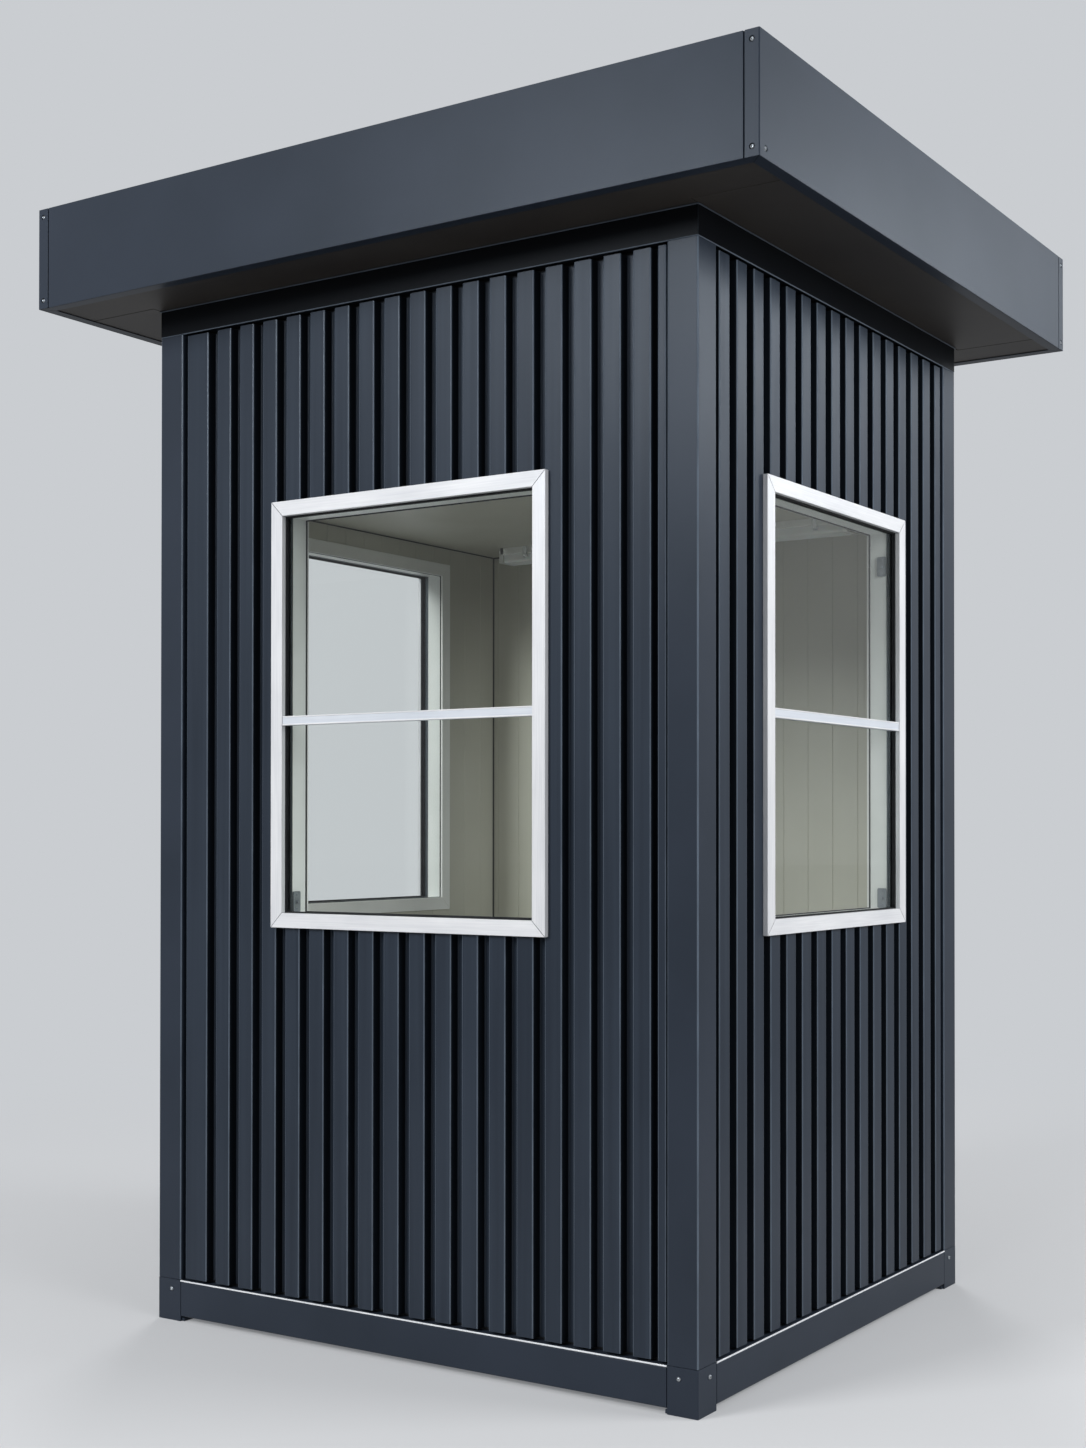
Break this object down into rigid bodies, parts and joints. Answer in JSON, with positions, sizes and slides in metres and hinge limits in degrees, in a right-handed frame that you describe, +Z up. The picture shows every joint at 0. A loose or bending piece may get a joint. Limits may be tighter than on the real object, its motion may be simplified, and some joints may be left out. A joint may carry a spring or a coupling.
{
  "type": "security guard booth",
  "caption": "Free-standing guard booth of dark ribbed steel with bright-trimmed fixed windows, a rear door and a deep flat roof.",
  "frame": {"origin": "on the ground at the centre of the roof's outline, which is also the middle of the cabin", "axes": "+Z up; -Y is the front, with the wide window; +X is the right side as seen from the front"},
  "size_m": [2.03, 1.69, 2.734],
  "materials": {
    "coated_steel": "anthracite polyester coating, satin",
    "dark_steel": "dark anthracite coating, satin",
    "bright_aluminium": "brushed and clear anodised",
    "frame_aluminium": "natural anodised",
    "white_panel": "off-white coated sheet on an insulated core",
    "floor_covering": "grey vinyl floor covering on board",
    "soffit_board": "warm grey coated sheet, matt",
    "galvanised_steel": "zinc plated",
    "white_enamel": "white enamelled sheet",
    "light_diffuser": "opal plastic",
    "glass": "clear float glass"
  },
  "bodies": {
    "root": {"front_base_rail": "coated_steel", "right_base_rail": "coated_steel", "back_base_rail": "coated_steel", "left_base_rail": "coated_steel", "corner_feet": "coated_steel", "drip_strips": "bright_aluminium", "floor_panel": "floor_covering", "front_left_post": "coated_steel", "front_right_post": "coated_steel", "back_left_post": "coated_steel", "back_right_post": "coated_steel", "front_wall": "white_panel", "right_wall": "white_panel", "back_wall": "white_panel", "left_wall": "white_panel", "front_cladding": "coated_steel", "right_cladding": "coated_steel", "back_cladding": "coated_steel", "left_cladding": "coated_steel", "front_window_trim": "bright_aluminium", "right_window_trim": "bright_aluminium", "left_window_trim": "bright_aluminium", "front_window_frame": "frame_aluminium", "right_window_frame": "frame_aluminium", "left_window_frame": "frame_aluminium", "front_window_glass": "glass", "right_window_glass": "glass", "left_window_glass": "glass", "window_transoms": "bright_aluminium", "window_casings": "white_panel", "window_catches": "galvanised_steel", "door_frame": "dark_steel", "door_leaf": "coated_steel", "door_handle": "galvanised_steel", "door_hinges": "galvanised_steel", "ring_beam": "coated_steel", "front_fascia": "coated_steel", "right_fascia": "coated_steel", "back_fascia": "coated_steel", "left_fascia": "coated_steel", "soffit_panels": "soffit_board", "roof_deck": "dark_steel", "ceiling_panel": "white_panel", "ceiling_light": "white_enamel", "light_diffuser": "light_diffuser"}
  },
  "joints": []
}
